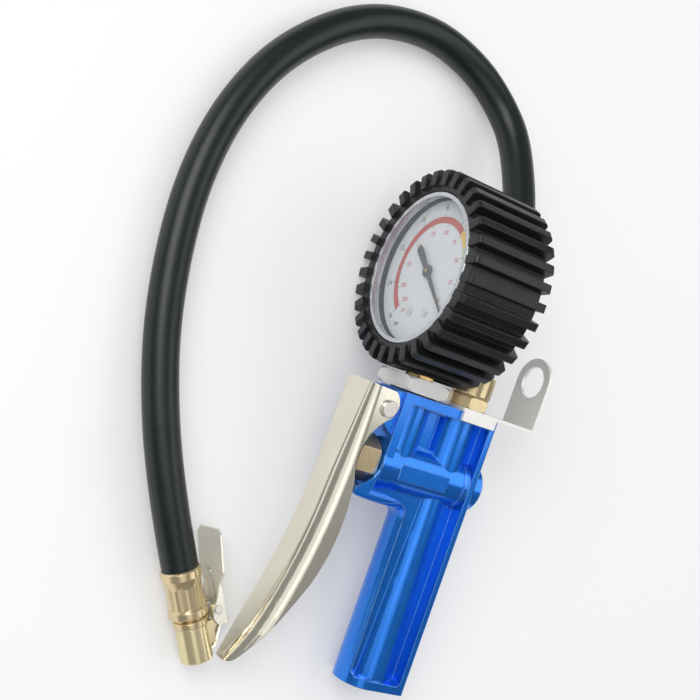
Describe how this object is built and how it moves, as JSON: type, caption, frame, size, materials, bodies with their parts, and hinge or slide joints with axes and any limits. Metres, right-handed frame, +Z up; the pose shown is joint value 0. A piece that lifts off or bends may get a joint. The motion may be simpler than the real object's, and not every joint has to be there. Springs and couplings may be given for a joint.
{
  "type": "tyre inflator with gauge",
  "caption": "Hand-held tyre inflator lying on its side: trigger handle with air valve, dial pressure gauge in a rubber boot, hose and clip-on tyre chuck.",
  "frame": {"origin": "on the surface the tool lies on, under the centre of the gun's bounding box taken without the hose and chuck", "axes": "+X from the gauge's dial to its back, +Y roughly from the handle's foot to the gauge, +Z up from the surface"},
  "size_m": [0.2093, 0.3527, 0.1],
  "materials": {
    "boot_rubber": "satin",
    "case_steel": "gloss",
    "bezel_chrome": "polished",
    "window_clear": "polished",
    "dial_white": "matte",
    "screw_steel": "satin",
    "pointer_black": "satin",
    "movement_brass": "satin",
    "spring_bronze": "satin",
    "adapter_nickel": "satin",
    "seal_rubber": "matte",
    "casting_blue": "gloss",
    "fitting_yellow_zinc": "satin",
    "spring_steel": "satin",
    "lever_nickel": "satin",
    "bracket_zinc": "satin",
    "hose_rubber": "satin",
    "chuck_nickel": "satin",
    "clip_steel": "satin"
  },
  "bodies": {
    "gun": {"rubber_boot": "boot_rubber", "gauge_case": "case_steel", "bezel_ring": "bezel_chrome", "window": "window_clear", "dial_plate": "dial_white", "dial_screws": "screw_steel", "hairspring": "spring_bronze", "movement_plates": "movement_brass", "bourdon_tube": "spring_bronze", "gauge_socket": "movement_brass", "case_screws": "screw_steel", "gauge_adapter": "adapter_nickel", "adapter_washer": "seal_rubber", "body_casting": "casting_blue", "valve_bush": "fitting_yellow_zinc", "stem_oring": "seal_rubber", "valve_seat": "movement_brass", "valve_spring": "spring_steel", "lever_pin": "screw_steel", "pin_clip": "spring_steel", "hang_bracket": "bracket_zinc", "outlet_fitting": "fitting_yellow_zinc", "gun_ferrule": "fitting_yellow_zinc", "hose": "hose_rubber", "chuck_socket": "fitting_yellow_zinc", "chuck_nipple": "movement_brass", "lock_ring": "fitting_yellow_zinc", "chuck_body": "chuck_nickel", "chuck_seal": "seal_rubber", "chuck_core": "movement_brass", "clip_pin": "screw_steel"},
    "lever": {"lever": "lever_nickel"},
    "valve": {"push_pin": "screw_steel", "valve_poppet": "movement_brass", "poppet_seal": "seal_rubber"},
    "pointer": {"pointer": "pointer_black", "pinion_arbor": "movement_brass"},
    "sector": {"sector_gear": "movement_brass"},
    "link": {"link": "movement_brass"},
    "clip": {"clip_lever": "clip_steel", "clip_spring": "spring_steel"}
  },
  "joints": [
    {"name": "lever_hinge", "type": "hinge", "parent": "gun", "child": "lever", "pos_m": [-0.02805, 0.00901, 0.03736], "axis": [0, -0.1816, 0.9834], "range_deg": [0, 8.5], "stiffness_Nm_per_rad": 0.6, "springref_deg": -4.58},
    {"name": "valve_slide", "type": "slide", "parent": "gun", "child": "valve", "axis": [1, 0, 0], "range_m": [0, 0.004], "deforming": ["valve_spring"]},
    {"name": "pointer_hinge", "type": "hinge", "parent": "gun", "child": "pointer", "pos_m": [-0.02425, 0.07745, 0.05], "axis": [-1, 0, 0], "range_deg": [0, 270], "stiffness_Nm_per_rad": 0.00005, "springref_deg": -57.3},
    {"name": "sector_hinge", "type": "hinge", "parent": "gun", "child": "sector", "pos_m": [-0.01725, 0.05606, 0.04605], "axis": [1, 0, 0], "range_deg": [0, 20.1]},
    {"name": "link_hinge", "type": "hinge", "parent": "sector", "child": "link", "pos_m": [-0.03325, 0.04869, 0.04469], "axis": [1, 0, 0], "range_deg": [-20.1, 0]},
    {"name": "clip_hinge", "type": "hinge", "parent": "gun", "child": "clip", "pos_m": [-0.07179, -0.10424, 0.00927], "axis": [0.1569, 0.0055, 0.9876], "range_deg": [0, 8], "stiffness_Nm_per_rad": 0.08, "springref_deg": -17.19}
  ],
  "couplings": [
    {"joint": "valve_slide", "follows": "lever_hinge", "m_per_rad": 0.0264},
    {"joint": "sector_hinge", "follows": "pointer_hinge", "ratio": 0.074074},
    {"joint": "link_hinge", "follows": "pointer_hinge", "ratio": -0.074074}
  ]
}
